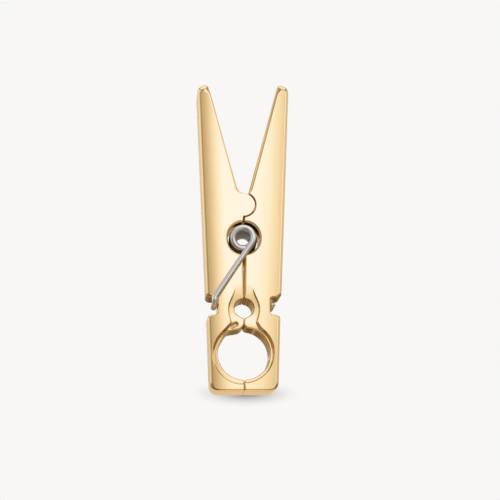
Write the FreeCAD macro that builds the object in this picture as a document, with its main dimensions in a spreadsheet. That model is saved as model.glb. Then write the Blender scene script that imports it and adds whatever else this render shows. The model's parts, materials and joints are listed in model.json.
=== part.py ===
import FreeCAD, Part
import math
import os
import Sketcher

# Clothespin, in millimetres. It stands on its jaw ends: +Z runs up its length to the
# handle tips, X runs across the two levers and Y through their thickness. The origin
# is under the middle of the jaws, and the levers close on the plane X = 0.

SIZES = {
    # Whole lever
    "lever_thick": 13.0,
    "tip_height": 74.35,
    "tip_inner": 8.5,
    "tip_outer": 11.05,
    "tip_shoulder": 73.35,
    "jaw_outer": 8.08,
    # Outside notch that the spring's hook sits in
    "notch_top": 22.45,
    "notch_low": 18.25,
    "notch_wall": 6.2,
    "notch_edge_top": 8.95,
    "notch_edge_low": 8.7,
    # Seam between the levers, from the jaws up to the knuckle
    "seam_half": 0.06,
    "gap_half_low": 0.32,
    "gap_half_high": 0.42,
    "contact_top": 17.25,
    "gap_low": 21.8,
    "gap_high": 32.8,
    "seam_low": 40.3,
    # Knuckle: the left lever's lobe turns in the right lever's socket
    "hinge_height": 44.6,
    "lobe_radius": 2.8,
    "socket_radius": 2.87,
    "vee_floor": 47.4,
    "vee_left": 1.23,
    "vee_right": 0.3,
    # Bore for the coil, and the two holes between the jaws
    "bore_height": 36.6,
    "bore_radius": 3.9,
    "small_height": 19.7,
    "small_radius": 2.3,
    "grip_height": 9.0,
    "grip_radius": 6.2,
    # Ledge, stepped back from both faces round the holes
    "ledge_depth": 1.6,
    "ledge_small": 3.5,
    "ledge_grip": 7.05,
    # Edge rounding
    "corner_round": 0.9,
    "vee_round": 1.5,
    "face_round": 0.7,
    # Torsion spring
    "wire_radius": 0.7,
    "coil_radius": 2.4,
    "coil_turns": 9.5,
    "leg_plane": 7.23,
    "coil_length": 14.46,
    "leg_bend_drop": 13.55,
    "hook_x": 6.95,
    "hook_drop": 15.8,
    "leg_bend_radius": 3.0,
    "hook_radius": 1.1,
    "hook_reach": 3.25,
}

doc = FreeCAD.newDocument("Clothespin")
sheet = doc.addObject("Spreadsheet::Sheet", "Sizes")
for row, (alias, number) in enumerate(SIZES.items(), start=1):
    sheet.set(f"A{row}", alias)
    sheet.set(f"B{row}", str(number))
    sheet.setAlias(f"B{row}", alias)
doc.recompute()


# Sketches -------------------------------------------------------------------------

def origin_plane(body, role):
    """One of the body's own three origin planes."""
    return next(f for f in body.Origin.OriginFeatures if f.Role == role)


def new_sketch(body, name, role="XZ_Plane", lift=None):
    """A sketch on an origin plane, or lifted off it along the plane's normal."""
    sketch = body.newObject("Sketcher::SketchObject", name)
    sketch.AttachmentSupport = [(origin_plane(body, role), "")]
    sketch.MapMode = "FlatFace"
    if lift:
        sketch.setExpression("AttachmentOffset.Base.z", lift)
    return sketch


def pin(sketch, kind, geometry, point, alias, sign=1):
    """Hold one coordinate of a sketch point at a sheet value, or on the axis if zero."""
    if alias is None:
        axis = -2 if kind == "DistanceX" else -1
        sketch.addConstraint(Sketcher.Constraint("PointOnObject", geometry, point, axis))
        return
    value = sign * SIZES[alias]
    number = sketch.addConstraint(Sketcher.Constraint(kind, -1, 1, geometry, point, value))
    sketch.setExpression(f"Constraints[{number}]", f"{sign} * Sizes.{alias}")


def outline(sketch, corners, side):
    """Closed outline of straight runs through (x, z) sheet sizes, x on the given side."""
    places = [
        FreeCAD.Vector(side * SIZES.get(x, 0.0), SIZES.get(z, 0.0), 0) for x, z in corners
    ]
    count = len(places)
    for i in range(count):
        sketch.addGeometry(Part.LineSegment(places[i], places[(i + 1) % count]))
    for i in range(count):
        sketch.addConstraint(Sketcher.Constraint("Coincident", i, 2, (i + 1) % count, 1))
    for i, (x, z) in enumerate(corners):
        pin(sketch, "DistanceX", i, 1, x, side)
        pin(sketch, "DistanceY", i, 1, z)


def circle(sketch, radius, x=None, y=None, y_sign=1):
    """One circle whose radius and centre are sheet sizes."""
    centre = FreeCAD.Vector(SIZES.get(x, 0.0), y_sign * SIZES.get(y, 0.0), 0)
    ring = Part.Circle(centre, FreeCAD.Vector(0, 0, 1), SIZES[radius])
    index = sketch.addGeometry(ring)
    pin(sketch, "DistanceX", index, 3, x)
    pin(sketch, "DistanceY", index, 3, y, y_sign)
    number = sketch.addConstraint(Sketcher.Constraint("Radius", index, SIZES[radius]))
    sketch.setExpression(f"Constraints[{number}]", f"Sizes.{radius}")


# Solid features -------------------------------------------------------------------

def pad(body, name, sketch):
    """Fill a profile through the lever's whole thickness, centred on its mid plane."""
    feature = body.newObject("PartDesign::Pad", name)
    feature.Profile = sketch
    feature.Midplane = True
    feature.setExpression("Length", "Sizes.lever_thick")
    sketch.Visibility = False
    doc.recompute()
    return feature


def bore(body, name, radius, height):
    """Cut a round hole right through, along Y."""
    sketch = new_sketch(body, f"{name}_circle")
    circle(sketch, radius, y=height)
    feature = body.newObject("PartDesign::Pocket", name)
    feature.Profile = sketch
    feature.Midplane = True
    feature.setExpression("Length", "2 * Sizes.lever_thick")
    doc.recompute()
    return feature


def ledge(body, name, radius, height, front):
    """Step one face back inside a circle. The sketch plane's normal points to -Y."""
    lift = "Sizes.lever_thick / 2" if front else "-Sizes.lever_thick / 2"
    sketch = new_sketch(body, f"{name}_circle", lift=lift)
    circle(sketch, radius, y=height)
    feature = body.newObject("PartDesign::Pocket", name)
    feature.Profile = sketch
    feature.Reversed = not front
    feature.setExpression("Length", "Sizes.ledge_depth")
    doc.recompute()
    return feature


def fillet(body, name, chosen, radius):
    """Round every edge of the body so far that chosen() accepts."""
    base = body.Tip
    edges = [f"Edge{i}" for i, e in enumerate(base.Shape.Edges, start=1) if chosen(e)]
    feature = body.newObject("PartDesign::Fillet", name)
    feature.Base = (base, edges)
    feature.setExpression("Radius", f"Sizes.{radius}")
    doc.recompute()
    return feature


def through_edge_at(x, z):
    """Accepts the edge that runs through the thickness at this X and Z."""
    def chosen(edge):
        middle = edge.BoundBox.Center
        runs_through = edge.BoundBox.YLength > 0.9 * SIZES["lever_thick"]
        return runs_through and math.hypot(middle.x - x, middle.z - z) < 0.1
    return chosen


def any_of(tests):
    """Accepts an edge that any of the tests accepts."""
    return lambda edge: any(test(edge) for test in tests)


# Levers ---------------------------------------------------------------------------

OUTER_RUN = [
    ("tip_inner", "tip_height"),
    ("tip_outer", "tip_shoulder"),
    ("notch_edge_top", "notch_top"),
    ("notch_wall", "notch_top"),
    ("notch_wall", "notch_low"),
    ("notch_edge_low", "notch_low"),
    ("jaw_outer", None),
    (None, None),
]
INNER_RUN = [
    (None, "contact_top"),
    ("gap_half_low", "gap_low"),
    ("gap_half_high", "gap_high"),
    ("seam_half", "seam_low"),
]
KNUCKLE_RUN = {
    "left_lever": [
        ("seam_half", "hinge_height"),
        (None, "vee_floor"),
        ("vee_left", "vee_floor"),
    ],
    "right_lever": [("seam_half", "hinge_height"), ("vee_right", "hinge_height")],
}


def lever(name, side):
    """One lever: outline, knuckle, holes, ledges and rounded edges."""
    body = doc.addObject("PartDesign::Body", name)
    body.Label = name
    body.Placement = FreeCAD.Placement()
    profile = new_sketch(body, f"{name}_outline")
    outline(profile, OUTER_RUN + INNER_RUN + KNUCKLE_RUN[name], side)
    pad(body, f"{name}_blank", profile)

    def at(x, z):
        return through_edge_at(side * SIZES[x], SIZES.get(z, 0.0))

    outer_corners = [at("tip_inner", "tip_height"), at("jaw_outer", None)]
    outer_corners += [at(x, z) for x, z in OUTER_RUN[1:6]]
    fillet(body, f"{name}_corners", any_of(outer_corners), "corner_round")
    if name == "left_lever":
        fillet(body, f"{name}_vee", at("vee_left", "vee_floor"), "vee_round")
        lobe = new_sketch(body, f"{name}_lobe_circle")
        circle(lobe, "lobe_radius", y="hinge_height")
        pad(body, f"{name}_lobe", lobe)
    else:
        bore(body, f"{name}_socket", "socket_radius", "hinge_height")
    bore(body, f"{name}_coil_bore", "bore_radius", "bore_height")
    bore(body, f"{name}_small_hole", "small_radius", "small_height")
    bore(body, f"{name}_grip_hole", "grip_radius", "grip_height")

    def outer_face_edge(edge):
        """Edges of the front and rear faces that follow the outside of the lever."""
        box = edge.BoundBox
        half = SIZES["lever_thick"] / 2
        on_face = box.YLength < 0.01 and abs(abs(box.Center.y) - half) < 0.01
        outside = abs(box.Center.x) > SIZES["vee_left"] and box.Center.z > SIZES["vee_floor"]
        outside = outside or abs(box.Center.x) > SIZES["ledge_grip"]
        outside = outside or abs(box.Center.x) > 0.97 * SIZES["notch_wall"]
        return on_face and outside

    fillet(body, f"{name}_faces", outer_face_edge, "face_round")
    for face, front in (("front", True), ("rear", False)):
        ledge(body, f"{name}_{face}_small_ledge", "ledge_small", "small_height", front)
        ledge(body, f"{name}_{face}_grip_ledge", "ledge_grip", "grip_height", front)
    return body


# Torsion spring -------------------------------------------------------------------

LEG_START = SIZES["hook_drop"] - SIZES["hook_radius"]
LEG_START_TEXT = "(Sizes.hook_drop - Sizes.hook_radius)"


def hold(sketch, kind, geometry, point, value, text):
    """Hold one coordinate of a sketch point at a value worked out from the sheet."""
    number = sketch.addConstraint(Sketcher.Constraint(kind, -1, 1, geometry, point, value))
    sketch.setExpression(f"Constraints[{number}]", text)


def smooth_join(sketch, first, second):
    """The end of one path element runs into the start of the next, with no corner."""
    (first_index, first_point), (second_index, second_point) = first, second
    sketch.addConstraint(
        Sketcher.Constraint("Tangent", first_index, first_point, second_index, second_point)
    )


def leg_spine(body):
    """Front leg's centre line: off the coil's side, across the face, down to the hook."""
    coil, bend = SIZES["coil_radius"], SIZES["leg_bend_radius"]
    corner = FreeCAD.Vector(-SIZES["hook_x"], -SIZES["leg_bend_drop"], 0)
    lean = math.asin(coil / corner.Length) + math.atan2(-corner.x, -corner.y)
    along = FreeCAD.Vector(-math.sin(lean), -math.cos(lean), 0)
    off_coil = FreeCAD.Vector(coil * math.cos(lean), -coil * math.sin(lean), 0)
    setback = bend * math.tan(lean / 2)
    bend_start = corner - along * setback
    bend_end = corner - FreeCAD.Vector(0, setback, 0)
    bend_centre = bend_end + FreeCAD.Vector(bend, 0, 0)
    up = FreeCAD.Vector(0, 0, 1)

    sketch = new_sketch(body, "leg_spine", lift="Sizes.leg_plane")
    wrap = Part.ArcOfCircle(Part.Circle(FreeCAD.Vector(), up, coil), -lean, 0)
    turn = Part.ArcOfCircle(
        Part.Circle(bend_centre, up, bend), math.pi - lean, math.pi
    )
    foot = FreeCAD.Vector(corner.x, -LEG_START, 0)
    wrap_i = sketch.addGeometry(wrap)
    run_i = sketch.addGeometry(Part.LineSegment(off_coil, bend_start))
    turn_i = sketch.addGeometry(turn)
    drop_i = sketch.addGeometry(Part.LineSegment(bend_end, foot))
    sketch.addConstraint(Sketcher.Constraint("Coincident", wrap_i, 3, -1, 1))
    sketch.addConstraint(Sketcher.Constraint("PointOnObject", wrap_i, 2, -1))
    for index, alias in ((wrap_i, "coil_radius"), (turn_i, "leg_bend_radius")):
        number = sketch.addConstraint(Sketcher.Constraint("Radius", index, SIZES[alias]))
        sketch.setExpression(f"Constraints[{number}]", f"Sizes.{alias}")
    smooth_join(sketch, (wrap_i, 1), (run_i, 1))
    smooth_join(sketch, (run_i, 2), (turn_i, 1))
    smooth_join(sketch, (turn_i, 2), (drop_i, 1))
    sketch.addConstraint(Sketcher.Constraint("Vertical", drop_i))
    pin(sketch, "DistanceX", drop_i, 2, "hook_x", -1)
    hold(sketch, "DistanceY", drop_i, 2, -LEG_START, f"-{LEG_START_TEXT}")
    return sketch


def hook_spine(body):
    """Front hook's centre line: down off the leg, then back through the notch."""
    radius = SIZES["hook_radius"]
    start = FreeCAD.Vector(-SIZES["leg_plane"], -LEG_START, 0)
    centre = start + FreeCAD.Vector(radius, 0, 0)
    inner = centre - FreeCAD.Vector(0, radius, 0)
    tip = FreeCAD.Vector(SIZES["hook_reach"], inner.y, 0)
    up = FreeCAD.Vector(0, 0, 1)

    sketch = new_sketch(body, "hook_spine", "YZ_Plane", "-Sizes.hook_x")
    bend = Part.ArcOfCircle(Part.Circle(centre, up, radius), math.pi, 1.5 * math.pi)
    bend_i = sketch.addGeometry(bend)
    reach_i = sketch.addGeometry(Part.LineSegment(inner, tip))
    number = sketch.addConstraint(Sketcher.Constraint("Radius", bend_i, radius))
    sketch.setExpression(f"Constraints[{number}]", "Sizes.hook_radius")
    sketch.addConstraint(Sketcher.Constraint("Horizontal", bend_i, 1, bend_i, 3))
    smooth_join(sketch, (bend_i, 2), (reach_i, 1))
    sketch.addConstraint(Sketcher.Constraint("Horizontal", reach_i))
    pin(sketch, "DistanceX", bend_i, 1, "leg_plane", -1)
    hold(sketch, "DistanceY", bend_i, 1, -LEG_START, f"-{LEG_START_TEXT}")
    pin(sketch, "DistanceX", reach_i, 2, "hook_reach")
    return sketch


def pipe(body, name, profile, spine):
    """Sweep the wire's round section along a spine sketch."""
    feature = body.newObject("PartDesign::AdditivePipe", name)
    feature.Profile = profile
    feature.Spine = (spine, [f"Edge{i + 1}" for i in range(spine.GeometryCount)])
    doc.recompute()
    return feature


def torsion_spring():
    """Coil inside the bore, with a leg and hook at each end, half a turn apart about Z."""
    body = doc.addObject("PartDesign::Body", "torsion_spring")
    body.Label = "torsion_spring"
    body.setExpression("Placement.Base.z", "Sizes.bore_height")

    coil_end = new_sketch(body, "coil_end", "XY_Plane")
    circle(coil_end, "wire_radius", "coil_radius", "leg_plane", -1)
    coil = body.newObject("PartDesign::AdditiveHelix", "coil")
    coil.Profile = coil_end
    coil.ReferenceAxis = (origin_plane(body, "Y_Axis"), [""])
    coil.Mode = "height-turns-angle"
    coil.LeftHanded = True
    coil.setExpression("Height", "Sizes.coil_length")
    coil.setExpression("Turns", "Sizes.coil_turns")
    doc.recompute()

    leg_end = new_sketch(body, "leg_end", "XY_Plane")
    circle(leg_end, "wire_radius", "coil_radius", "leg_plane", -1)
    leg = pipe(body, "leg", leg_end, leg_spine(body))
    hook_end = new_sketch(body, "hook_end", "XY_Plane", f"-{LEG_START_TEXT}")
    circle(hook_end, "wire_radius", None, "leg_plane", -1)
    hook_end.setExpression("AttachmentOffset.Base.x", "-Sizes.hook_x")
    hook = pipe(body, "hook", hook_end, hook_spine(body))

    both = body.newObject("PartDesign::PolarPattern", "both_ends")
    both.Originals = [leg, hook]
    both.Axis = (origin_plane(body, "Z_Axis"), [""])
    both.Angle = 360
    both.Occurrences = 2
    body.Tip = both
    doc.recompute()
    return body


# Files ----------------------------------------------------------------------------

def write_parts(bodies):
    """Check every object and shape, then write one STEP file for each sub-part."""
    for item in doc.Objects:
        if "Invalid" in item.State or "Error" in item.State:
            raise RuntimeError(f"{item.Name} did not build: {item.State}")
    for body in bodies:
        shape = body.Shape
        if shape.isNull() or not shape.isValid() or len(shape.Solids) != 1:
            raise RuntimeError(f"{body.Label} is not one valid solid")
    os.makedirs("parts", exist_ok=True)
    for body in bodies:
        body.Shape.exportStep(f"parts/{body.Label}.step")
        print(body.Label, round(body.Shape.Volume, 1), "mm3")


write_parts([lever("left_lever", -1), lever("right_lever", 1), torsion_spring()])
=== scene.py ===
import json
import math

import bmesh
import bpy
import numpy as np
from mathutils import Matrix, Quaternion, Vector
from mathutils.geometry import delaunay_2d_cdt


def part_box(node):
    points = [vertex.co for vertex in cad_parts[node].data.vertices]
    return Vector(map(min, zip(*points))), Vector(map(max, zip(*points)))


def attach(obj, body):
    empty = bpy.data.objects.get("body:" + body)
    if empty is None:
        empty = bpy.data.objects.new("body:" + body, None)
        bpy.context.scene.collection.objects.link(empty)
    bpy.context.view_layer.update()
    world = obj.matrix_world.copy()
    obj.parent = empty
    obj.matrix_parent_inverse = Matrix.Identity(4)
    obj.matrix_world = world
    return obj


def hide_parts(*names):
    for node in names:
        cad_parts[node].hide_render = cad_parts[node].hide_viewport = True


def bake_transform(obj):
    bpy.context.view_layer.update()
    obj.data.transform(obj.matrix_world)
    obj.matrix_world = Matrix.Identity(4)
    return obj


# Clothespin: two polished gold-coloured levers and a bright torsion spring.
# Lengths below are in millimetres and are turned into metres when a mesh is made.

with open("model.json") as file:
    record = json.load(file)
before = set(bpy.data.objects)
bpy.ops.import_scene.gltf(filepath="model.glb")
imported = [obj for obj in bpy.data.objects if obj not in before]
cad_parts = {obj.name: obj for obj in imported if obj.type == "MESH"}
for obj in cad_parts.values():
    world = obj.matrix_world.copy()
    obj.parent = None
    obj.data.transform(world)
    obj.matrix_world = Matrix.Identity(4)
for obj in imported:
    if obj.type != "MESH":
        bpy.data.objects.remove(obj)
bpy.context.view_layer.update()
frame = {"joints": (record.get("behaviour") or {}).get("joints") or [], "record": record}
MM = 0.001


def in_mm(point):
    """A point of the frame, in millimetres."""
    return [value / MM for value in point]


def round_mount(name):
    """Height and radius of one of the record's round mounts."""
    mount = next(m for m in frame["record"]["mounts"] if m["name"] == name)
    return mount["pos_m"][2] / MM, mount["dims"]["r_mm"]


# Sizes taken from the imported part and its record
TIP_OUTER, HALF_THICK, TIP_TOP = in_mm(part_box("right_lever")[1])
HINGE_Z = frame["joints"][0]["pos_m"][2] / MM
GRIP_Z, GRIP_R = round_mount("line_grip_large")
SMALL_Z, SMALL_R = round_mount("line_grip_small")

# The rest of the lever's outline. The seam's gap widens from SEAM_LOW to SEAM_HIGH.
JAW_OUTER = 8.08
TIP_INNER = 8.5
BORE_Z = 36.6
BORE_R = 3.83
LOBE_R = 2.78
SOCKET_R = 2.95
NOTCH_LOW, NOTCH_TOP, NOTCH_X = 18.25, 22.45, 6.2
JAW_GAP = 0.12
SEAM = 0.09
SEAM_LOW, SEAM_HIGH = 0.04, 0.2

# Faces: outer crown, ledge round the holes, and the left lever's pocket. Each ledge depth
# is an amount, the height where it starts and the run over which it grows downwards.
CROWN_WIDTH = 8.0
CROWN_TILT = 0.14
LEDGE_TOP = 25.6
LEDGE_DEPTHS = [(0.5, LEDGE_TOP, 8.0), (0.25, 16.0, 3.5), (-0.3, 10.0, 6.0)]
LEDGE_RING_R = 7.0
STEP_THIN, STEP_WIDE = 0.4, 0.7
GROOVE = np.array([(-2.0, 15.95), (-3.1, 15.4)])
GROOVE_WIDE, GROOVE_DEEP = 0.42, 0.26
GRID_STEP = 0.55
OUTLINE_STEP = 0.22
WALL_LEVELS = 5

# Spring wire. The coil leans a little, is widest in the middle of the bore, and eases out
# to the leg's plane over its last LEAVE_TURN radians.
WIRE_R = 0.7
LEG_Y = HALF_THICK + WIRE_R + 0.03
COIL_R = 2.4
COIL_SHIFT = 0.2
COIL_TURNS = 9.5
COIL_PITCH = 1.5
COIL_SWELL = 0.3
LEAVE_TURN = 1.6
LEG_CORNER = (-6.95, 22.35)
LEG_BEND_R = 2.0
HOOK_Z = 21.0
HOOK_R = 0.8
HOOK_TIP = 3.25
TURN_POINTS = 30

# Camera: azimuth, elevation and roll in degrees, then its aim, distance and lens
CAMERA_TURN = (-3.0, -8.3, -0.28)
CAMERA_TARGET = (1.8, 0.0, 34.62)
CAMERA_DISTANCE = 482.5
CAMERA_LENS = 144.0

# Studio: how bright a reflection is, round the horizon (0 faces the front) and upwards
AROUND = [
    (-180, 0.33), (-172, 0.33), (-160, 0.7), (-80, 0.74), (-56, 0.45), (-40, 0.33), (-22, 0.3),
    (-14, 0.34), (-11.5, 0.46), (-8.5, 0.68), (-6, 0.85), (-3, 0.98), (6, 0.97), (11, 0.89),
    (15.5, 0.76), (19.5, 0.6), (25, 0.66), (34, 0.95), (44, 0.8), (60, 0.56), (110, 0.55),
    (155, 0.58), (170, 0.36), (180, 0.33),
]
UPWARD = [
    (-90, 0.45), (-62, 0.38), (-40, 0.32), (-22, 0.34), (-8, 0.4), (0, 0.8), (4.6, 0.88),
    (6, 0.95), (9, 1.0), (18, 1.0), (24, 1.06), (31, 0.45), (40, 0.45), (50, 0.78), (90, 0.85),
]
# Narrow bright strip behind the pin: its place and half width in degrees, and its strength
STRIP = (-177.75, 0.55, 0.4)
# Above this band of heights the brightness no longer changes round the horizon
OVERHEAD = [(28, 0.0), (50, 1.0)]
# Colour of the light for each brightness: warm and dark, up to cool and bright
TINTS = [
    (0.0, (0.014, 0.005, 0.001)), (0.12, (0.15, 0.095, 0.03)), (0.3, (0.43, 0.35, 0.25)),
    (0.45, (0.62, 0.56, 0.48)), (0.6, (0.81, 0.77, 0.73)), (0.75, (1.0, 1.0, 1.0)),
    (0.88, (1.05, 1.18, 1.52)), (1.0, (1.06, 1.29, 1.98)),
]
BACKDROP = (0.9387, 0.9301, 0.9131)

# Floor: how steeply it falls towards the camera, where its painted shadow is centred, and the
# painted shadow's reach sideways and in depth
FLOOR_FALL = 20.0
FLOOR_CENTRE = (0.9, 8.4)
PAINTED_SHADOW_REACH = (14.6, 13.4)
# Strength of the painted shadow's black at its middle
PAINTED_SHADOW_DARK = 0.97
# In front the floor runs further by this factor, and only reflections meet that part
FLOOR_FRONT = 2.0
# Painted glow: warm colour the floor shows to reflections, standing in for light falling on it
FLOOR_PAINTED_GLOW = (0.82, 0.72, 0.52)

# Metals: main colour, the darker colour it drifts to, tint at grazing angles, roughness
GOLD = ((0.96, 0.725, 0.395), (0.95, 0.71, 0.375), (0.90, 0.72, 0.48), 0.07)
STEEL = ((0.90, 0.91, 0.93), (0.85, 0.86, 0.88), (1.0, 1.0, 1.0), 0.34)


# Outlines -------------------------------------------------------------------------

def arc(x, z, radius, start, end, step=1.5):
    """Points round part of a circle, angles in degrees from +X towards +Z."""
    count = max(2, int(abs(end - start) / step))
    turns = [math.radians(start + (end - start) * i / count) for i in range(count + 1)]
    return [(x + radius * math.cos(a), z + radius * math.sin(a), 0.0) for a in turns]


def soften(corners, step=0.2):
    """Closed, evenly spaced outline whose corners (x, z, ease) turn over ease each way."""
    points = np.array([c[:2] for c in corners], float)
    ease = [c[2] for c in corners]
    runs = np.linalg.norm(np.roll(points, -1, axis=0) - points, axis=1)
    stations = np.concatenate([[0], np.cumsum(runs)])
    total = stations[-1]
    looped = np.vstack([points, points[:1]])

    def at(s):
        s = np.mod(s, total)
        return np.array([np.interp(s, stations, looped[:, k]) for k in (0, 1)])

    out = []
    for i, (point, turn) in enumerate(zip(points, ease)):
        s = stations[i]
        hidden = any(
            e > 0 and j != i and min(abs(s - stations[j]), total - abs(s - stations[j])) < e
            for j, e in enumerate(ease)
        )
        if turn <= 0:
            if not hidden:
                out.append(point)
            continue
        before, after = at(s - turn), at(s + turn)
        count = max(4, int(2 * turn / step))
        for k in range(count + 1):
            t = k / count
            out.append((1 - t) ** 2 * before + 2 * t * (1 - t) * point + t * t * after)
    return resample(np.array(out), OUTLINE_STEP)


def resample(points, step):
    """The same closed outline with evenly spaced points."""
    looped = np.vstack([points, points[:1]])
    stations = np.concatenate([[0], np.cumsum(np.linalg.norm(np.diff(looped, axis=0), axis=1))])
    count = int(stations[-1] / step)
    wanted = np.linspace(0, stations[-1], count, endpoint=False)
    return np.stack([np.interp(wanted, stations, looped[:, k]) for k in (0, 1)], axis=1)


def outer_run(side):
    """Down the outside of a lever, from the handle tip to the foot of the jaw."""
    return [
        (side * TIP_INNER, TIP_TOP + 0.28, 1.1),
        (side * TIP_OUTER, TIP_TOP - 0.65, 1.2),
        (side * 8.95, NOTCH_TOP, 1.0),
        (side * NOTCH_X, NOTCH_TOP, 0.9),
        (side * NOTCH_X, NOTCH_LOW, 1.1),
        (side * 8.7, NOTCH_LOW, 1.1),
        (side * JAW_OUTER, 0.0, 2.4),
        (side * 0.0, 0.0, 0.35),
    ]


def holes_run(side):
    """Up the closing side: jaw tip, large hole, contact, small hole, seam and bore."""
    grip_low = math.degrees(math.asin(JAW_GAP / GRIP_R)) - 90
    if side > 0:
        large = arc(0, GRIP_Z, GRIP_R, grip_low, 86)
        small = arc(0, SMALL_Z, SMALL_R, -42, 88.5)
        bore = arc(0, BORE_Z, BORE_R, -86, 88)
    else:
        large = arc(0, GRIP_Z, GRIP_R, 180 - grip_low, 158)
        large += [(-5.1, 12.6, 1.0), (-4.0, 14.3, 0.8), (-1.0, 14.8, 0.5), (-0.3, 15.3, 0.3)]
        small = arc(0, SMALL_Z, SMALL_R, 222, 91.5)
        bore = arc(0, BORE_Z, BORE_R, 266, 92)
    large[0] = large[0][:2] + (0.45,)
    top = large[-1][:2] + (0.5,)
    return (
        [(side * 0.02, GRIP_Z - GRIP_R - 0.55, 0.4)]
        + large[:-1] + [top]
        + [(side * 0.02, 15.9, 0.15), (side * 0.02, 17.35, 0.35)]
        + [small[0][:2] + (0.7,)] + small[1:-1] + [small[-1][:2] + (0.12,)]
        + [(side * SEAM_LOW, 22.4, 0.12), (side * SEAM_HIGH, 32.4, 0.0)]
        + [bore[0][:2] + (0.3,)] + bore[1:-1] + [bore[-1][:2] + (0.3,)]
    )


def left_outline():
    """Left lever: its round lobe stands out past the seam into the other lever."""
    lobe = arc(0, HINGE_Z, LOBE_R, -86, 88)
    lobe[0] = lobe[0][:2] + (0.12,)
    knuckle = [(-SEAM, HINGE_Z - LOBE_R - 0.02, 0.12)] + lobe
    return soften(outer_run(-1) + holes_run(-1) + knuckle + [(-1.23, HINGE_Z + LOBE_R, 1.9)])


def right_outline():
    """Right lever: a socket wraps round the other lever's lobe."""
    socket = arc(0, HINGE_Z, SOCKET_R, -86, 66)
    socket[0] = socket[0][:2] + (0.15,)
    socket[-1] = socket[-1][:2] + (0.3,)
    return soften(outer_run(1) + holes_run(1) + socket)


def ledge_outline(side):
    """Where a face steps back round the holes: a waist, two bulges and a ring."""
    if side > 0:
        ring = arc(0, GRIP_Z + 0.1, LEDGE_RING_R, -90, 56)
        neck = (2.95, 16.5, 0.5)
    else:
        ring = arc(-0.35, GRIP_Z - 0.2, LEDGE_RING_R, 273, 138)
        neck = (-3.0, 16.2, 0.5)
    shape = [(-side * 3.0, -3.0, 0), (-side * 3.0, 28.5, 0), (side * 1.75, 28.5, 0)]
    shape += [(side * 2.1, 24.0, 1.5), (side * 3.75, 20.3, 1.3), (side * 3.5, 18.0, 1.2)]
    return soften(shape + [neck] + ring[::-1])


# Distances to an outline ----------------------------------------------------------

def nearest_on(points, loop):
    """Each point's distance to a closed outline, the way from it, and where along it."""
    a, b = loop, np.roll(loop, -1, axis=0)
    ab = b - a
    length2 = (ab ** 2).sum(1)
    gap, along = np.empty(len(points)), np.empty(len(points))
    away = np.empty((len(points), 2))
    for first in range(0, len(points), 1000):
        block = slice(first, first + 1000)
        from_a = points[block, None] - a
        t = np.clip((from_a * ab).sum(2) / length2, 0, 1)
        offset = from_a - t[..., None] * ab
        distance = (offset ** 2).sum(2)
        best = distance.argmin(1)
        row = np.arange(len(best))
        gap[block] = np.sqrt(distance[row, best])
        along[block] = best + t[row, best]
        away[block] = offset[row, best]
    return gap, away / np.maximum(gap, 1e-9)[:, None], along


def inside(points, loop):
    """True for the points that lie inside a closed outline."""
    x, z = points[:, 0], points[:, 1]
    hits = np.zeros(len(points), bool)
    for (ax, az), (bx, bz) in zip(loop, np.roll(loop, -1, axis=0)):
        crosses = (az > z) != (bz > z)
        with np.errstate(divide="ignore", invalid="ignore"):
            at_x = (bx - ax) * (z - az) / (bz - az) + ax
        hits ^= crosses & (x < at_x)
    return hits


def smooth_step(t):
    """0 below 0, 1 above 1, and an even S between."""
    t = np.clip(t, 0, 1)
    return t * t * (3 - 2 * t)


def smooth_slope(t):
    """Slope of the S that smooth_step draws."""
    t = np.clip(t, 0, 1)
    return 6 * t * (1 - t)


def outward(loop):
    """Unit normals that point out of an outline, one for each of its points."""
    along = np.roll(loop, -1, axis=0) - np.roll(loop, 1, axis=0)
    normal = np.stack([along[:, 1], -along[:, 0]], axis=1)
    normal /= np.linalg.norm(normal, axis=1)[:, None]
    area = (loop[:, 0] * np.roll(loop[:, 1], -1) - np.roll(loop[:, 0], -1) * loop[:, 1]).sum()
    return normal if area > 0 else -normal


# Levers ---------------------------------------------------------------------------

def edge_radius(loop, side):
    """How widely each point of the outline is rounded over into the faces, evened out."""
    x, z = loop[:, 0] * side, loop[:, 1]
    outer_x = np.interp(z, [0, 18, 18.1, 74], [JAW_OUTER, 8.7, 8.75, TIP_OUTER])
    seam = (z > 23) & (z < 32.4) & (x < 1)
    outside = x > outer_x - 0.8
    tip = z > TIP_TOP - 1.8
    foot = z < 0.8
    between_handles = (z > HINGE_Z + 3.2) & (x < outer_x - 1.5) & (z < TIP_TOP - 2)
    knuckle = np.hypot(x, z - HINGE_Z) < 3.3
    bore = np.hypot(x, z - BORE_Z) < BORE_R + 0.1
    handle_radius = 0.75 if side > 0 else 0.5

    radius = np.full(len(loop), 0.28)
    for zone, amount in ((seam, 0.5), (outside, 0.8), (tip, 1.5), (foot, 0.6),
                         (between_handles, handle_radius), (knuckle, 0.2), (bore, 0.6)):
        radius[zone] = amount
    width = 9
    kernel = np.hanning(width + 2)[1:-1]
    padded = np.concatenate([radius[-width:], radius, radius[:width]])
    return np.convolve(padded, kernel / kernel.sum(), "same")[width:-width]


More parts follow.
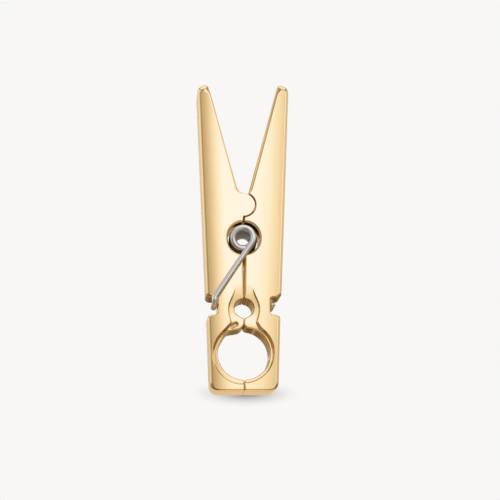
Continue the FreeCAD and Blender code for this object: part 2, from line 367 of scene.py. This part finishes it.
class LeverFace:
    """Shape of a lever's face: its height over the mid plane, and which way it looks."""

    def __init__(self, loop, side):
        self.loop, self.side = loop, side
        self.radius = edge_radius(loop, side)
        self.ledge = ledge_outline(side)

    def radius_at(self, along):
        """Edge rounding at a place along the outline."""
        looped = np.append(self.radius, self.radius[0])
        return np.interp(along, np.arange(len(looped)), looped)

    def crown(self, points):
        """Drop of the gently rounded flank towards the outer edge, and its slope in x."""
        outer = np.interp(points[:, 1], [0, TIP_TOP], [JAW_OUTER, TIP_OUTER + 0.1])
        into = np.clip(CROWN_WIDTH - (outer - points[:, 0] * self.side), 0, CROWN_WIDTH)
        tilt = CROWN_TILT * into / CROWN_WIDTH
        return tilt * into / 2, self.side * tilt

    def surface(self, points):
        """Heights and unit normals of the front face, which looks towards -Y."""
        gap, away, along = nearest_on(points, self.loop)
        r = self.radius_at(along)
        shy = np.clip(r - gap, 0, r)
        upright = np.sqrt(r * r - shy * shy)
        slope = away * (shy / np.maximum(upright, 0.04 * r))[:, None]
        drop, drop_slope = self.crown(points)
        slope[:, 0] -= drop_slope
        step, step_away, _ = nearest_on(points, self.ledge)
        within = inside(points, self.ledge)
        step = np.where(within, step, -step)
        step_away[~within] *= -1
        wide = step_width(points[:, 1])
        rise = step / wide + 0.5
        deep = np.zeros(len(points))
        for amount, top, fade in LEDGE_DEPTHS:
            share = (top - points[:, 1]) / fade
            deep += amount * smooth_step(share)
            slope[:, 1] += amount * smooth_slope(share) / fade * smooth_step(rise)
        slope -= step_away * (deep * smooth_slope(rise) / wide)[:, None]
        height = HALF_THICK - (r - upright) - drop - deep * smooth_step(rise)
        if self.side < 0:
            off, off_way, _ = nearest_on(points, GROOVE)
            dip = GROOVE_DEEP * np.exp(-(off / GROOVE_WIDE) ** 2)
            height -= dip
            slope += off_way * (2 * dip * off / GROOVE_WIDE ** 2)[:, None]
        normal = np.stack([-slope[:, 0], -np.ones(len(points)), -slope[:, 1]], axis=1)
        return height, normal / np.linalg.norm(normal, axis=1)[:, None]


def step_width(z):
    """The ledge's step is wide over the large hole and thin round the rest."""
    over = smooth_step((17.4 - z) / 1.7) * smooth_step((z - 7.0) / 4.0)
    return STEP_THIN + (STEP_WIDE - STEP_THIN) * over


def face_points(face):
    """Points for one face: rings along the edges and ledge, a grid, and a finer patch."""
    loop, out = face.loop, outward(face.loop)
    rings = [loop]
    for share in (0.04, 0.13, 0.27, 0.45, 0.66, 0.88, 1.05):
        depth = share * face.radius
        ring = loop - out * depth[:, None]
        gap, _, _ = nearest_on(ring, loop)
        rings.append(ring[(gap > depth - 0.012) & inside(ring, loop)])
    edge_out = outward(face.ledge)
    for share in (-0.1, 0.06, 0.18, 0.34, 0.5, 0.66, 0.82, 0.94, 1.1):
        offset = (share - 0.5) * step_width(face.ledge[:, 1])
        ring = face.ledge - edge_out * offset[:, None]
        gap, _, along = nearest_on(ring, loop)
        own, _, _ = nearest_on(ring, face.ledge)
        keep = inside(ring, loop) & (gap > 1.08 * face.radius_at(along))
        rings.append(ring[keep & (own > abs(offset) - 0.01) & (ring[:, 1] < LEDGE_TOP)])
    low, high = loop.min(0), loop.max(0)
    xs = np.arange(low[0], high[0], GRID_STEP)
    zs = np.arange(low[1], high[1], GRID_STEP)
    grid = np.stack(np.meshgrid(xs, zs), axis=2).reshape(-1, 2)
    grid[:, 0] += (np.round(grid[:, 1] / GRID_STEP).astype(int) % 2) * GRID_STEP / 2
    grid = grid[inside(grid, loop)]
    gap, _, along = nearest_on(grid, loop)
    step, _, _ = nearest_on(grid, face.ledge)
    clear = gap > 1.1 * face.radius_at(along) + 0.2
    clear &= (step > 0.6 * step_width(grid[:, 1]) + 0.1) | (grid[:, 1] > LEDGE_TOP)
    rings.append(grid[clear])
    if face.side < 0:
        reach = np.arange(-2.0, 2.0, 0.13)
        patch = np.stack(np.meshgrid(reach, reach), axis=2).reshape(-1, 2)
        fine = GROOVE.mean(0) + patch
        gap, _, along = nearest_on(fine, loop)
        off, _, _ = nearest_on(fine, GROOVE)
        rings.append(fine[(off < 0.95) & inside(fine, loop) & (gap > 1.1 * face.radius_at(along))])
    return np.vstack(rings)


def triangulate(face):
    """Flat triangles over one face: its points, the triangles, and which points are the rim."""
    count = len(face.loop)
    flat = [Vector(p) for p in face_points(face)]
    made = delaunay_2d_cdt(flat, [], [list(range(count))], 1, 1e-6)
    points = np.array([tuple(p) for p in made[0]])
    triangles = np.array([t for t in made[2] if len(t) == 3])
    order = {source[0]: i for i, source in enumerate(made[3]) if source}
    a, b, c = (points[triangles[:, k]] for k in range(3))
    area = (b - a)[:, 0] * (c - a)[:, 1] - (b - a)[:, 1] * (c - a)[:, 0]
    triangles[area < 0] = triangles[area < 0][:, ::-1]
    return points, triangles, [order[i] for i in range(count)]


def lever_mesh(name, loop, side):
    """Closed lever: matching front and rear faces, joined by a wall round the outline."""
    face = LeverFace(loop, side)
    count = len(loop)
    points, triangles, rim = triangulate(face)
    height, normal = face.surface(points)
    side_normal = outward(loop)
    normal[rim] = np.stack([side_normal[:, 0], np.zeros(count), side_normal[:, 1]], axis=1)

    front = np.stack([points[:, 0], -height, points[:, 1]], axis=1)
    rear = front * (1, -1, 1)
    rear_normal = normal * (1, -1, 1)
    size = len(points)
    faces = [tuple(t) for t in triangles]
    faces += [(t[0] + size, t[2] + size, t[1] + size) for t in triangles]
    rows = [rim]
    wall, wall_normal = [], []
    for level in range(1, WALL_LEVELS):
        share = level / WALL_LEVELS
        start = 2 * size + len(wall)
        wall += list(front[rim] * (1 - share) + rear[rim] * share)
        wall_normal += list(normal[rim])
        rows.append(list(range(start, start + count)))
    rows.append([i + size for i in rim])
    for upper, lower in zip(rows[:-1], rows[1:]):
        for i in range(count):
            j = (i + 1) % count
            faces.append((upper[i], upper[j], lower[j], lower[i]))
    vertices = np.vstack([front, rear, np.array(wall)]) * MM
    normals = np.vstack([normal, rear_normal, np.array(wall_normal)])
    mesh = bpy.data.meshes.new(name)
    mesh.from_pydata(vertices.tolist(), [], faces)
    mesh.validate()
    turn_outward(mesh)
    mesh.polygons.foreach_set("use_smooth", [True] * len(mesh.polygons))
    mesh.normals_split_custom_set_from_vertices(normals.tolist())
    return add_object(name, mesh)


def add_object(name, data):
    """New object in the scene that holds a mesh or a camera."""
    made = bpy.data.objects.new(name, data)
    bpy.context.scene.collection.objects.link(made)
    return made


def turn_outward(mesh):
    """Make every face of a closed mesh look outwards."""
    work = bmesh.new()
    work.from_mesh(mesh)
    bmesh.ops.recalc_face_normals(work, faces=work.faces)
    work.to_mesh(mesh)
    work.free()


# Spring ---------------------------------------------------------------------------

def front_coil():
    """Centre line of the coil's front half, from its middle to where the leg leaves it."""
    path = []
    to_corner = Vector((LEG_CORNER[0] + COIL_SHIFT, LEG_CORNER[1] - BORE_Z))
    lean = math.asin(COIL_R / to_corner.length) + math.atan2(-to_corner.x, -to_corner.y)
    begin = math.pi / 2 + math.pi * (COIL_TURNS - 0.5)
    steps = int(TURN_POINTS * COIL_TURNS / 2)
    for i in range(steps + 1):
        angle = begin + (-lean - begin) * i / steps
        turned = (begin - angle) / (2 * math.pi)
        out = smooth_step((LEAVE_TURN - angle) / LEAVE_TURN)
        y = -COIL_PITCH * turned * (1 - out) - LEG_Y * out
        share = min(1.0, 2 * turned / COIL_TURNS)
        radius = COIL_R + COIL_SWELL * smooth_step((0.8 - share) / 0.4)
        shift = -COIL_SHIFT * share
        path.append((shift + radius * math.cos(angle), y, BORE_Z + radius * math.sin(angle)))
    return path


def front_half():
    """Centre line of the spring's front half, from the coil's middle to the hook's tip."""
    path = front_coil()
    corner = Vector(LEG_CORNER)
    off = Vector((path[-1][0], path[-1][2]))
    along = (corner - off).normalized()
    setback = LEG_BEND_R * math.tan(math.atan2(-along.x, -along.y) / 2)
    bend_from = corner - along * setback
    bend_to = corner - Vector((0, setback))
    for share in (0.25, 0.5, 0.75):
        spot = off.lerp(bend_from, share)
        path.append((spot.x, -LEG_Y, spot.y))
    for i in range(9):
        t = i / 8
        spot = bend_from * (1 - t) ** 2 + corner * 2 * t * (1 - t) + bend_to * t * t
        path.append((spot.x, -LEG_Y, spot.y))
    for i in range(13):
        a = math.pi / 2 * i / 12
        y = -LEG_Y + HOOK_R * (1 - math.cos(a))
        path.append((corner.x, y, HOOK_Z + HOOK_R * (1 - math.sin(a))))
    for share in (0.25, 0.5, 0.75, 1.0):
        path.append((corner.x, -LEG_Y + HOOK_R + (HOOK_TIP + LEG_Y - HOOK_R) * share, HOOK_Z))
    return np.array(path, float)


def tube(name, path, radius, sides=24):
    """Round wire along a path, with rounded ends."""
    path = np.array(path, float)
    tangents = np.gradient(path, axis=0)
    tangents /= np.linalg.norm(tangents, axis=1)[:, None]
    across = np.cross(tangents[0], (0, 0, 1.0))
    rings, vertices = [], []
    cap = [math.radians(a) for a in (75, 60, 45, 30, 15)]
    stations = [(0, -math.sin(a), math.cos(a)) for a in cap]
    stations += [(i, 0.0, 1.0) for i in range(len(path))]
    stations += [(len(path) - 1, math.sin(a), math.cos(a)) for a in cap[::-1]]
    for i, ahead, scale in stations:
        across = across - tangents[i] * np.dot(across, tangents[i])
        across /= np.linalg.norm(across)
        other = np.cross(tangents[i], across)
        centre = path[i] + tangents[i] * ahead * radius
        ring = []
        for k in range(sides):
            a = 2 * math.pi * k / sides
            spot = centre + radius * scale * (across * math.cos(a) + other * math.sin(a))
            ring.append(len(vertices))
            vertices.append(spot * MM)
        rings.append(ring)
    faces = []
    for first, second in zip(rings[:-1], rings[1:]):
        for k in range(sides):
            j = (k + 1) % sides
            faces.append((first[k], first[j], second[j], second[k]))
    for end, ring, sign in ((0, rings[0], -1), (-1, rings[-1], 1)):
        pole = len(vertices)
        vertices.append((path[end] + sign * tangents[end] * radius) * MM)
        for k in range(sides):
            faces.append((ring[k], ring[(k + 1) % sides], pole))
    mesh = bpy.data.meshes.new(name)
    mesh.from_pydata([tuple(v) for v in vertices], [], faces)
    turn_outward(mesh)
    mesh.polygons.foreach_set("use_smooth", [True] * len(mesh.polygons))
    return add_object(name, mesh)


def make_spring():
    """Whole wire: the front half and its copy, half a turn round the upright axis."""
    half = front_half()
    rear = half * (-1, -1, 1)
    return tube("spring_wire", np.vstack([half[::-1], rear[1:]]), WIRE_R)


# Materials ------------------------------------------------------------------------

def metal(name, colour, dark, edge_tint, roughness):
    """Polished metal: colour drift, fine wiping scratches and slight surface waviness."""
    material = bpy.data.materials.new(name)
    material.use_nodes = True
    nodes, links = material.node_tree.nodes, material.node_tree.links
    shader = nodes["Principled BSDF"]
    shader.inputs["Metallic"].default_value = 1.0
    shader.inputs["Specular Tint"].default_value = (*edge_tint, 1)

    def new(kind, **values):
        """New node with values set on its inputs."""
        node = nodes.new(kind)
        for key, value in values.items():
            node.inputs[key].default_value = value
        return node

    place = new("ShaderNodeTexCoord")
    drift = new("ShaderNodeTexNoise", Scale=90.0, Detail=2.0)
    links.new(place.outputs["Object"], drift.inputs["Vector"])
    tint = new("ShaderNodeMix")
    tint.data_type = "RGBA"
    tint.inputs["A"].default_value = (*colour, 1)
    tint.inputs["B"].default_value = (*dark, 1)
    fade = new("ShaderNodeMapRange")
    fade.inputs["To Max"].default_value = 0.35
    links.new(drift.outputs["Fac"], fade.inputs["Value"])
    links.new(fade.outputs["Result"], tint.inputs["Factor"])
    links.new(tint.outputs["Result"], shader.inputs["Base Color"])

    stretch = new("ShaderNodeMapping")
    stretch.inputs["Scale"].default_value = (2600, 2600, 260)
    links.new(place.outputs["Object"], stretch.inputs["Vector"])
    wipes = new("ShaderNodeTexNoise", Scale=1.0, Detail=4.0, Roughness=0.7)
    links.new(stretch.outputs["Vector"], wipes.inputs["Vector"])
    rough = new("ShaderNodeMapRange")
    rough.inputs["From Min"].default_value = 0.35
    rough.inputs["From Max"].default_value = 0.7
    rough.inputs["To Min"].default_value = roughness
    rough.inputs["To Max"].default_value = roughness + 0.03
    links.new(wipes.outputs["Fac"], rough.inputs["Value"])
    links.new(rough.outputs["Result"], shader.inputs["Roughness"])

    wave = new("ShaderNodeTexNoise", Scale=160.0, Detail=1.0)
    links.new(place.outputs["Object"], wave.inputs["Vector"])
    soft = new("ShaderNodeBump", Strength=0.05, Distance=0.0002)
    links.new(wave.outputs["Fac"], soft.inputs["Height"])
    fine = new("ShaderNodeBump", Strength=0.015, Distance=0.00001)
    links.new(wipes.outputs["Fac"], fine.inputs["Height"])
    links.new(soft.outputs["Normal"], fine.inputs["Normal"])
    links.new(fine.outputs["Normal"], shader.inputs["Normal"])
    return material


# Stage, light and camera ----------------------------------------------------------

def place_camera():
    """Long lens, a little below and to the left of the pin."""
    azimuth, elevation, roll = (math.radians(a) for a in CAMERA_TURN)
    target = Vector(CAMERA_TARGET) * MM
    ahead = Vector((-math.sin(azimuth) * math.cos(elevation),
                    math.cos(azimuth) * math.cos(elevation), -math.sin(elevation)))
    data = bpy.data.cameras.new("camera")
    data.lens = CAMERA_LENS
    data.sensor_width = 36.0
    data.clip_start = 0.01
    camera = add_object("camera", data)
    camera.location = target - ahead * CAMERA_DISTANCE * MM
    camera.rotation_mode = "QUATERNION"
    camera.rotation_quaternion = ahead.to_track_quat("-Z", "Y") @ Quaternion((0, 0, 1), roll)
    bpy.context.scene.camera = camera


def ramp(tree, factor, stops, ease="EASE"):
    """Colour ramp fed by a factor, from (place, colour) stops."""
    node = tree.nodes.new("ShaderNodeValToRGB")
    node.color_ramp.interpolation = ease
    elements = node.color_ramp.elements
    while len(elements) < len(stops):
        elements.new(0.5)
    for element, (place, colour) in zip(elements, stops):
        element.position = place
        element.color = (*colour, 1)
    tree.links.new(factor, node.inputs["Fac"])
    return node.outputs["Color"]


def math_node(tree, operation, *values):
    """Math node whose inputs are numbers or sockets."""
    node = tree.nodes.new("ShaderNodeMath")
    node.operation = operation
    for socket, value in zip(node.inputs, values):
        if isinstance(value, (int, float)):
            socket.default_value = value
        else:
            tree.links.new(value, socket)
    return node.outputs[0]


def grey(level):
    """A grey colour of one level."""
    return (level, level, level)


def studio_world():
    """Pale backdrop for the camera, and soft panels with darker gaps for the reflections."""
    world = bpy.data.worlds.new("studio")
    bpy.context.scene.world = world
    world.use_nodes = True
    tree = world.node_tree
    place = tree.nodes.new("ShaderNodeTexCoord")
    split = tree.nodes.new("ShaderNodeSeparateXYZ")
    tree.links.new(place.outputs["Generated"], split.inputs["Vector"])
    toward = math_node(tree, "MULTIPLY", split.outputs["Y"], -1.0)
    azimuth = math_node(tree, "ARCTAN2", split.outputs["X"], toward)
    height = math_node(tree, "ARCSINE", split.outputs["Z"])
    turn = math_node(tree, "MULTIPLY_ADD", azimuth, 0.5 / math.pi, 0.5)
    rise = math_node(tree, "MULTIPLY_ADD", height, 1 / math.pi, 0.5)
    around = ramp(tree, turn, [((a + 180) / 360, grey(level)) for a, level in AROUND])
    strip_at, strip_half = (math.radians(a) for a in STRIP[:2])
    strip = math_node(tree, "COMPARE", azimuth, strip_at, strip_half)
    around = math_node(tree, "MULTIPLY_ADD", strip, STRIP[2], around)
    upward = ramp(tree, rise, [((e + 90) / 180, grey(level)) for e, level in UPWARD])
    overhead = ramp(tree, rise, [((e + 90) / 180, grey(level)) for e, level in OVERHEAD])
    evened = math_node(tree, "MULTIPLY", math_node(tree, "SUBTRACT", 1.0, around), overhead)
    level = math_node(tree, "MULTIPLY", math_node(tree, "ADD", around, evened), upward)
    panels = tree.nodes["Background"]
    tree.links.new(ramp(tree, level, TINTS, "LINEAR"), panels.inputs["Color"])
    backdrop = tree.nodes.new("ShaderNodeBackground")
    backdrop.inputs["Color"].default_value = (*BACKDROP, 1)
    seen = tree.nodes.new("ShaderNodeLightPath")
    choose = tree.nodes.new("ShaderNodeMixShader")
    tree.links.new(seen.outputs["Is Camera Ray"], choose.inputs["Fac"])
    tree.links.new(panels.outputs[0], choose.inputs[1])
    tree.links.new(backdrop.outputs[0], choose.inputs[2])
    tree.links.new(choose.outputs[0], tree.nodes["World Output"].inputs["Surface"])


def make_floor():
    """Floor patch round the foot, tilted because the camera looks up from below the base."""
    across, deep = PAINTED_SHADOW_REACH
    fall = math.radians(FLOOR_FALL)
    ring = []
    for i in range(64):
        turn = 2 * math.pi * i / 64
        run = deep if i < 32 else deep * FLOOR_FRONT
        ring.append((across * MM * math.cos(turn), run * MM * math.sin(turn), 0.0))
    mesh = bpy.data.meshes.new("floor")
    mesh.from_pydata(ring, [], [tuple(range(64))])
    floor = add_object("floor", mesh)
    drop = (FLOOR_CENTRE[1] - HALF_THICK) * math.tan(fall)
    floor.location = Vector((*FLOOR_CENTRE, drop)) * MM
    floor.rotation_euler = (fall, 0.0, 0.0)
    mesh.materials.append(floor_material())


def floor_material():
    """Clear to the camera but for a painted soft contact shadow, and a painted warm glow to
    reflections.
    """
    across, deep = PAINTED_SHADOW_REACH
    material = bpy.data.materials.new("floor_painted_shadow_and_glow")
    material.use_nodes = True
    tree = material.node_tree
    tree.nodes.remove(tree.nodes["Principled BSDF"])
    place = tree.nodes.new("ShaderNodeTexCoord")
    shrink = tree.nodes.new("ShaderNodeMapping")
    shrink.inputs["Scale"].default_value = (1 / (across * MM), 1 / (deep * MM), 1)
    tree.links.new(place.outputs["Object"], shrink.inputs["Vector"])
    reach = tree.nodes.new("ShaderNodeVectorMath")
    reach.operation = "LENGTH"
    tree.links.new(shrink.outputs["Vector"], reach.inputs[0])
    # Painted shadow: a black layer, strongest in the middle of the patch and fading to clear at
    # its rim
    left_over = math_node(tree, "SUBTRACT", 1.0, reach.outputs["Value"])
    fade = math_node(tree, "POWER", math_node(tree, "MAXIMUM", left_over, 0.0), 2.0)
    shade = math_node(tree, "MULTIPLY", fade, PAINTED_SHADOW_DARK)
    clear = tree.nodes.new("ShaderNodeBsdfTransparent")
    dark = tree.nodes.new("ShaderNodeEmission")
    dark.inputs["Color"].default_value = (0.0, 0.0, 0.0, 1)
    shadow = tree.nodes.new("ShaderNodeMixShader")
    tree.links.new(shade, shadow.inputs["Fac"])
    tree.links.new(clear.outputs[0], shadow.inputs[1])
    tree.links.new(dark.outputs[0], shadow.inputs[2])
    # Painted glow: reflections see the floor as a warm emitter in place of a lit floor
    glow = tree.nodes.new("ShaderNodeEmission")
    glow.inputs["Color"].default_value = (*FLOOR_PAINTED_GLOW, 1)
    seen = tree.nodes.new("ShaderNodeLightPath")
    choose = tree.nodes.new("ShaderNodeMixShader")
    tree.links.new(seen.outputs["Is Camera Ray"], choose.inputs["Fac"])
    tree.links.new(glow.outputs[0], choose.inputs[1])
    tree.links.new(shadow.outputs[0], choose.inputs[2])
    tree.links.new(choose.outputs[0], tree.nodes["Material Output"].inputs["Surface"])
    return material


# Building -------------------------------------------------------------------------

place_camera()
left = lever_mesh("left_lever_metal", left_outline(), -1)
right = lever_mesh("right_lever_metal", right_outline(), 1)
spring = make_spring()
gold = metal("polished_gold", *GOLD)
steel = metal("bright_spring_wire", *STEEL)
for piece in (left, right):
    piece.data.materials.append(gold)
spring.data.materials.append(steel)

studio_world()
make_floor()
bpy.context.scene.view_settings.view_transform = "Standard"

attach(left, "left_lever")
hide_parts("left_lever")
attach(right, "right_lever")
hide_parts("right_lever")
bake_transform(spring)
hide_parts("torsion_spring")
